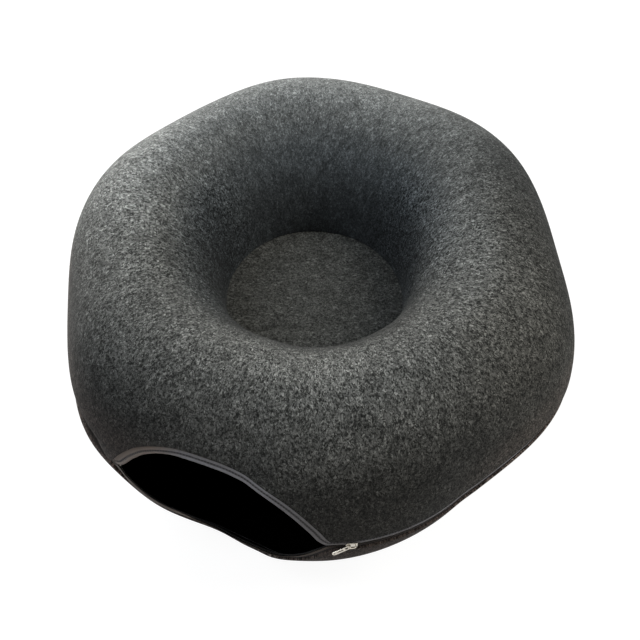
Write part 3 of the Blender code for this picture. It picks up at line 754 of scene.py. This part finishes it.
def mottled_finish(name, dark, light, scale, detail, strength, **values):
    """A finish whose colour wavers between two by a noise on Object coordinates, with a low
    bump by the same noise. Returns the noise too, for what else it wears."""
    material, tree, shader = new_finish(name, **values)
    place = add_node(tree, "ShaderNodeTexCoord").outputs["Object"]
    mottle = add_node(tree, "ShaderNodeTexNoise", {"Vector": place, "Scale": scale, "Detail": detail})
    dye = add_node(tree, "ShaderNodeMix", {
        0: mottle.outputs[0], 6: linear(dark), 7: linear(light)}, data_type="RGBA")
    tree.links.new(dye.outputs[2], shader.inputs["Base Color"])
    if strength > 0:
        bump = add_node(tree, "ShaderNodeBump", {
            "Height": mottle.outputs[0], "Strength": strength, "Distance": 0.2 * MM})
        tree.links.new(bump.outputs[0], shader.inputs["Normal"])
    return material, tree, shader, mottle.outputs[0]


# Spun polyester: dull black staple yarn whose twist shows as a fine mottle.
spun_thread = mottled_finish("spun_polyester_thread", "121214", "2a2a2d", 900.0, 2.0, 0.5, Roughness=0.7)[0]


def stitches(name, centre, along, outward, length, thick, lift):
    """One short bead of thread per place: rings of six points whose radius follows a half
    circle along the bead, flattened towards the cloth, all placed by one array product."""
    rings = np.linspace(-1, 1, 5)
    girth = np.sqrt(np.clip(1 - (rings * 0.96) ** 2, 0.02, 1))
    turn = np.arange(6) * math.pi / 3
    a = np.repeat(rings * length / 2, 6)
    b = np.outer(girth, np.cos(turn)).ravel() * thick
    c = np.outer(girth, np.sin(turn)).ravel() * thick * 0.8 + lift
    side = np.cross(outward, along)
    points = (centre[:, None] + a[None, :, None] * along[:, None] + b[None, :, None] * side[:, None]
              + c[None, :, None] * outward[:, None])
    one = grid_faces(5, 6, False, True)
    caps = np.array([[0, 1, 2, 5], [2, 3, 4, 5], [24, 25, 26, 29], [26, 27, 28, 29]])
    caps[2:] = caps[2:, ::-1]
    one = np.concatenate([one, caps])
    faces = (one[None] + 30 * np.arange(len(centre))[:, None, None]).reshape(-1, 4)
    return add_piece(name, make_mesh(name, points, faces, [spun_thread]))


def spaced(azimuth, path, gap):
    """Azimuths at even distances along a path that is known at close azimuths."""
    travel = travelled(path)
    count = int(travel[-1] / gap)
    return np.interp((np.arange(count) + 0.5) * travel[-1] / count, travel, azimuth)


def unit(vectors):
    return vectors / np.linalg.norm(vectors, axis=1, keepdims=True)


def line_point(azimuth, half, reach, depth):
    """A point of the line that keeps its reach from the free edge, at a depth in the wall."""
    return ring_point(azimuth, angle_at(line_inside(azimuth, half, reach)[:, 0], half), half, depth)


def line_frame(azimuth, half, reach, depth):
    """Points of such a line, and the outward normal at each: the direction to it from a
    deeper point of the ring."""
    centre = line_point(azimuth, half, reach, depth)
    return centre, unit(centre - line_point(azimuth, half, reach, depth + 1 * MM))


def sewn_line(half, reach, depth, ends):
    """Places at even stitch gaps along a line that keeps its reach from the free edge, each
    with the direction to a point a ten-thousandth of a radian ahead, and its outward normal."""
    ahead = 1e-4
    close = np.linspace(zip_start + ends[0], zip_start + 2 * math.pi + ends[1], 2400)
    azimuth = spaced(close, line_point(close, half, reach, depth), stitch_gap)
    sunk = depth + (tape_sink(azimuth, reach) if reach < tape_visible else 0)
    centre, outward = line_frame(azimuth, half, reach, sunk)
    along = line_point(azimuth + ahead, half, reach, sunk) - centre
    along -= np.sum(along * outward, axis=1, keepdims=True) * outward
    return centre, unit(along), outward


for half, label, body in ((UPPER, "upper", "upper_half"), (LOWER, "lower", "lower_half")):
    line = sewn_line(half, chain_reach, tape_depth, chain_ends)
    chain = stitches(label + "_chain_stitches", *line, chain_stitch, chain_thickness, chain_lift)
    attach(chain, body)

    line = sewn_line(half, tape_visible + seam_inset, behind_tape + thread_radius, seam_ends)
    tape_seam = stitches(label + "_tape_seam", *line, tape_stitch, thread_radius, 0)
    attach(tape_seam, body)
    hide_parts(label + "_tape_stitching")

    ring = well_radius + felt_thickness + tape_seat + thread_radius
    turn = np.arange(floor_stitches) * 2 * math.pi / floor_stitches
    outward = np.stack([np.cos(turn), np.sin(turn), 0 * turn], axis=1)
    along = np.stack([-np.sin(turn), np.cos(turn), 0 * turn], axis=1)
    middle = np.array([*(well_shift + ring_shift), floor_top if half == UPPER else floor_base])
    floor_seam = stitches(label + "_floor_seam", middle + ring * outward, along, outward,
                          floor_stitch, thread_radius, 0)
    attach(floor_seam, body)
    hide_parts(label + "_floor_stitching")

# The zip's teeth. Each side is one coil of dyed polyester monofilament, 2.2 mm across, sewn
# behind the free edge of its tape, so it is seen only inside the tunnel and on a lifted half.
coil_radius = 1.1 * MM
coil_wire = 0.3 * MM
coil_pitch = 2.3 * MM
stop_length = 3 * MM

# Drawn polyester wire, dyed black: smooth, with a dull gloss.
monofilament = mottled_finish("dyed_polyester_monofilament", "0a0a0b", "141416", 220.0, 2.0, 0,
                              Roughness=0.38)[0]


def zip_coil(name, half, body, node):
    """A helix round the line that keeps a coil radius from the free edge, swept with a ring
    of five points. The path's tangent comes from neighbouring points of the helix."""
    first = zip_start + (2 * touch_gap + stop_length) / ring_radius
    last = zip_start + 2 * math.pi - (3 * tape_end_gap + stop_length) / ring_radius
    close = np.linspace(first, last, 3000)
    depth = behind_tape + coil_radius
    travel = travelled(line_point(close, half, coil_radius, depth))
    turns = int(travel[-1] / coil_pitch)
    share = np.arange(turns * 9 + 1) / (turns * 9)
    azimuth = np.interp(share * travel[-1], travel, close)
    centre, outward = line_frame(azimuth, half, coil_radius, depth + tape_sink(azimuth, coil_radius))
    side = np.cross(outward, unit(np.gradient(centre, axis=0)))
    phase = share[:, None] * turns * 2 * math.pi
    out = np.cos(phase) * outward + np.sin(phase) * side
    helix = centre + (coil_radius - coil_wire) * out
    tangent = unit(np.gradient(helix, axis=0))
    out = unit(out - np.sum(out * tangent, axis=1, keepdims=True) * tangent)
    ring = (np.arange(5) * 2 * math.pi / 5)[None, :, None]
    points = helix[:, None] + coil_wire * (np.cos(ring) * out[:, None]
                                           + np.sin(ring) * np.cross(tangent, out)[:, None])
    caps = np.stack([np.arange(5), (len(helix) - 1) * 5 + np.arange(5)[::-1]])
    mesh = make_mesh(name, points, [grid_faces(len(helix), 5, False, True), caps], [monofilament])
    piece = add_piece(name, mesh)
    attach(piece, body)
    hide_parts(node)


zip_coil("upper_tooth_coil", UPPER, "upper_half", "upper_zip_coil")
zip_coil("lower_tooth_coil", LOWER, "lower_half", "lower_zip_coil")

# The metal of the zip: end stops, start stop, slider, bail and pull. All are die-cast zinc,
# tumbled smooth and nickel plated, which gives a warm silver gloss with soft small dents.
# The slider is two plates joined by a web that runs in the groove between the tapes.
nickel, nickel_tree, nickel_shader, nickel_wear = mottled_finish(
    "nickel_plated_zinc", "a8a195", "d2cdc3", 420.0, 3.0, 0.25, Metallic=1.0)
nickel_polish = add_node(nickel_tree, "ShaderNodeMapRange", {
    "Value": nickel_wear, "From Min": 0.3, "From Max": 0.7, "To Min": 0.2, "To Max": 0.38})
nickel_tree.links.new(nickel_polish.outputs[0], nickel_shader.inputs["Roughness"])

for name in ("upper_end_stop", "lower_end_stop", "zip_start_stop"):
    frame["nodes"][name].data.materials.clear()
    frame["nodes"][name].data.materials.append(nickel)

slider_azimuth = 276.5
slider_length = 12 * MM
slider_width = 9.2 * MM
slider_plate = 1.0 * MM
slider_clearance = 0.5 * MM
plate_corner = 0.3 * MM
web_length = 4 * MM
web_thickness = 0.5 * MM
web_sunk = 0.4 * MM
web_corner = 0.05 * MM
weld_reach = 0.01 * MM
plate_shares = [(-0.50, 0.28), (-0.38, 0.50), (-0.12, 0.50), (0.20, 0.40), (0.44, 0.40), (0.50, 0.32)]
run = next(joint for joint in frame["joints"] if joint["name"] == "slider_run")
swing = next(joint for joint in frame["joints"] if joint["name"] == "pull_swing")
slider_angle = math.radians(slider_azimuth)
slider_out = float(seam_radius(np.array(slider_angle)))
arc_middle = slide_arc_centre()
slider_turn = math.atan2(slider_out * math.sin(slider_angle) - arc_middle[1],
                         slider_out * math.cos(slider_angle) - arc_middle[0])
slider_place = Matrix.Translation(run["pos_m"]) @ Matrix.Rotation(slider_turn, 4, "Z")
slider_reach = slide_arc_radius - tape_depth


def rounded_outline(points, steps=6):
    """A closed smooth line through the points: cubic pieces with centred slopes."""
    p = np.array(points, dtype=float)
    before, after, further = np.roll(p, 1, 0), np.roll(p, -1, 0), np.roll(p, -2, 0)
    t = (np.arange(steps) / steps)[None, :, None]
    p0, p1, p2, p3 = (q[:, None] for q in (before, p, after, further))
    line = 0.5 * (2 * p1 + (p2 - p0) * t + (2 * p0 - 5 * p1 + 4 * p2 - p3) * t ** 2
                  + (3 * p1 - p0 - 3 * p2 + p3) * t ** 3)
    return line.reshape(-1, 2)


def cast_plate(name, loops, thickness, corner, middle=0.0):
    """A flat curve between outlines in the plane of Y and Z, thick along X about a middle,
    with its corners rounded by the curve's bevel, turned into a mesh. Its doubled points are
    merged and its faces made to point one way, which is outwards where the volume is above 0."""
    curve = bpy.data.curves.new(name, "CURVE")
    curve.dimensions = "2D"
    curve.fill_mode = "BOTH"
    curve.extrude = thickness / 2 - corner
    curve.bevel_depth = corner
    curve.bevel_resolution = 3
    curve.offset = -corner
    for loop in loops:
        spline = curve.splines.new("POLY")
        spline.points.add(len(loop) - 1)
        flat = np.tile(np.array([0, 0, 0, 1], dtype=np.float32), (len(loop), 1))
        flat[:, :2] = loop
        spline.points.foreach_set("co", flat.ravel())
        spline.use_cyclic_u = True
    drawn = add_piece(name, curve)
    bpy.context.view_layer.update()
    mesh = bpy.data.meshes.new_from_object(drawn.evaluated_get(bpy.context.evaluated_depsgraph_get()))
    bpy.data.objects.remove(drawn, do_unlink=True)
    mesh.transform(Matrix(((0, 0, 1, middle), (1, 0, 0, 0), (0, 1, 0, 0), (0, 0, 0, 1))))
    solid = bmesh.new()
    solid.from_mesh(mesh)
    bmesh.ops.remove_doubles(solid, verts=solid.verts, dist=weld_reach)
    bmesh.ops.recalc_face_normals(solid, faces=solid.faces)
    if solid.calc_volume(signed=True) < 0:
        bmesh.ops.reverse_faces(solid, faces=solid.faces)
    solid.to_mesh(mesh)
    solid.free()
    return mesh


def metal_piece(name, mesh, place, body, node):
    """Moves the mesh to its place, shades it smooth and merges its doubled points."""
    mesh.transform(place)
    mesh.name = name
    mesh.materials.clear()
    mesh.materials.append(nickel)
    mesh.shade_smooth()
    piece = add_piece(name, mesh)
    weld = piece.modifiers.new("Weld", "WELD")
    weld.merge_threshold = weld_reach
    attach(piece, body)
    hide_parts(node)


def joined(meshes):
    """One mesh that holds several, one after the other."""
    parts = bmesh.new()
    for mesh in meshes:
        parts.from_mesh(mesh)
    whole = bpy.data.meshes.new("joined")
    parts.to_mesh(whole)
    parts.free()
    return whole


plate_side = [(slider_length * a, slider_width * c) for a, c in plate_shares]
plate_line = rounded_outline(plate_side + [(a, -c) for a, c in reversed(plate_side)])
inner_face = -(tape_thickness + touch_gap + 2 * coil_radius + slider_clearance)
outer_plate = cast_plate("outer_plate", [plate_line], slider_plate, plate_corner,
                         slider_reach + slider_clearance + slider_plate / 2)
inner_plate = cast_plate("inner_plate", [plate_line], slider_plate, plate_corner,
                         slider_reach + inner_face - slider_plate / 2)
web_from = -slider_length / 2 + slider_plate
web_loop = [(web_from, -web_thickness / 2), (web_from + web_length, -web_thickness / 2),
            (web_from + web_length, web_thickness / 2), (web_from, web_thickness / 2)]
web = cast_plate("web", [web_loop], slider_clearance - inner_face + 2 * web_sunk, web_corner,
                 slider_reach + (slider_clearance + inner_face) / 2)
slider_mesh = joined([outer_plate, inner_plate, web])
metal_piece("slider_body", slider_mesh, slider_place, "slider", "zip_slider")

bail_radius = 0.6 * MM
bail_length = 8.2 * MM
bail_lift = 0.1 * MM
bail_points = 12
pull_thickness = 1.0 * MM
pull_bar = 1.4 * MM
bar_room = math.hypot(pull_thickness, pull_bar) / 2 + touch_gap
outer_face = slider_clearance + slider_plate
bail_top = outer_face + 2 * bar_room + bail_radius
bail_foot = outer_face + bail_lift


def bail_arch():
    """A wire bridge: a path that rises on a superellipse from one foot to the other, swept
    with an ellipse that is wider across the slider than it is thick."""
    turn = np.linspace(0, math.pi, 41)
    x = bail_foot + (bail_top - bail_foot) * np.abs(np.sin(turn)) ** 0.45
    y = -np.sign(np.cos(turn)) * np.abs(np.cos(turn)) ** 0.62 * (bail_length / 2)
    path = np.stack([slider_reach + x, y, np.zeros_like(x)], axis=1)
    up = np.array([0, 0, 1.0])
    out = np.cross(up, unit(np.gradient(path, axis=0)))
    ring = (np.arange(bail_points) * 2 * math.pi / bail_points)[None, :, None]
    wide = (1.25 - 0.35 * np.sin(turn))[:, None, None]
    return path[:, None] + bail_radius * (0.9 * np.cos(ring) * out[:, None] + wide * np.sin(ring) * up)


arch = bail_arch()
arch_end = np.arange(bail_points)
arch_ends = np.stack([arch_end, (len(arch) - 1) * bail_points + arch_end[::-1]])
arch_mesh = make_mesh("arch", arch, [grid_faces(len(arch), bail_points, False, True), arch_ends], [nickel])
metal_piece("bail_arch", arch_mesh, slider_place, "slider", "slider_bail")

pull_length = 20 * MM
pull_width = 6.5 * MM
pull_eye_width = 3.8 * MM
pull_eye_length = 4.5 * MM
pull_slot_width = 2.2 * MM
pull_slot_length = 7 * MM
pull_hole_width = 2.6 * MM
pull_gap = 2 * MM
pull_rim = 1.2 * MM
pull_corner = 0.28 * MM
pull_hang = math.radians(24)
pull_twist = math.radians(7)


def capsule(low, high, half_width, near, far, steps=8):
    """A rectangle with quarter circles at its corners, of one radius at the near end, the high
    one, and another at the far end, as points along and across."""
    turn = np.radians(np.linspace(0, 90, steps + 1))
    corners = [(high - near, half_width - near, 0, near), (low + far, half_width - far, 90, far),
               (low + far, far - half_width, 180, far), (high - near, near - half_width, 270, near)]
    return np.concatenate([np.stack([along + radius * np.cos(turn + math.radians(start)),
                                     across + radius * np.sin(turn + math.radians(start))], axis=1)
                           for along, across, start, radius in corners])


bar = pull_bar / 2
eye_end = bar + pull_eye_length
slot_from = eye_end + pull_gap
slot_to = slot_from + pull_slot_length
hole_end = pull_length - pull_rim
round_slot, round_hole = pull_slot_width / 2, pull_hole_width / 2
pull_loops = [capsule(-pull_length, bar, pull_width / 2, bar * 1.6, pull_width * 0.46),
              capsule(-eye_end, -bar, pull_eye_width / 2, bar, bar),
              capsule(-slot_to, -slot_from, round_slot, round_slot, round_slot),
              capsule(-hole_end, pull_hole_width - hole_end, round_hole, round_hole, round_hole)]
pull_mesh = cast_plate("pull", pull_loops, pull_thickness, pull_corner)
pull_place = (Matrix.Translation(swing["pos_m"]) @ Matrix.Rotation(slider_turn, 4, "Z")
              @ Matrix.Rotation(pull_hang, 4, "X") @ Matrix.Rotation(pull_twist, 4, "Z"))
metal_piece("pull_plate", pull_mesh, pull_place, "pull", "pull_tab")

# The studio: a plain white floor that shines evenly like a light table, and four soft lights:
# a strong one low behind on the left, two high at the sides and a dim warm one in front. The
# camera stands where the photograph was taken from, looking down at 53 degrees.
bpy.ops.mesh.primitive_plane_add(size=12, location=(0, 0, -0.4 * MM))
floor = bpy.context.object
floor.name = "studio_floor"
floor.visible_diffuse = False
floor_white = new_finish("white_studio_floor", Roughness=0.9, Base_Color=linear("707070"),
                         Emission_Color=(1, 1, 1, 1), Emission_Strength=0.93)[0]
floor.data.materials.append(floor_white)

world = bpy.data.worlds.new("studio")
bpy.context.scene.world = world
world.use_nodes = True
world.node_tree.nodes["Background"].inputs["Color"].default_value = (1, 1, 1, 1)
world.node_tree.nodes["Background"].inputs["Strength"].default_value = 1.0
world.cycles_visibility.diffuse = False


def softbox(name, place, watts, colour):
    """A square area light that looks from its place towards the middle of the ring."""
    light = bpy.data.lights.new(name, "AREA")
    light.size = light_size
    light.energy = watts
    light.color = linear(colour)[:3]
    lamp = add_piece(name, light)
    lamp.visible_camera = False
    lamp.location = place
    lamp.rotation_euler = (light_aim - Vector(place)).to_track_quat("-Z", "Y").to_euler()


light_size = 1.2
light_aim = Vector((0, 0, ring_height / 2))
softbox("rear_window", (-1.28, 2.22, 0.59), 106, "fffcf6")
softbox("right_light", (1.74, 0, 2.07), 39, "faf9f4")
softbox("left_light", (-1.74, 0, 2.07), 27, "f0f8ff")
softbox("front_fill", (0, -2.47, 0.94), 6, "fff0dc")

view_tilt = math.radians(53.2)
view_distance = 1.3
photo_side = 640
focal_pixels, middle_x, middle_y = 1098, 317.7, 302.3
lens = bpy.data.cameras.new("photo_camera")
lens.sensor_width = 36
lens.lens = focal_pixels * lens.sensor_width / photo_side
lens.shift_x = (photo_side / 2 - middle_x) / photo_side
lens.shift_y = (middle_y - photo_side / 2) / photo_side
camera = add_piece("photo_camera", lens)
camera.location = (ring_shift[0], ring_shift[1] - view_distance * math.cos(view_tilt),
                   ring_height / 2 + view_distance * math.sin(view_tilt))
camera.rotation_euler = (math.pi / 2 - view_tilt, 0, 0)
bpy.context.scene.camera = camera
bpy.context.scene.view_settings.view_transform = "Standard"
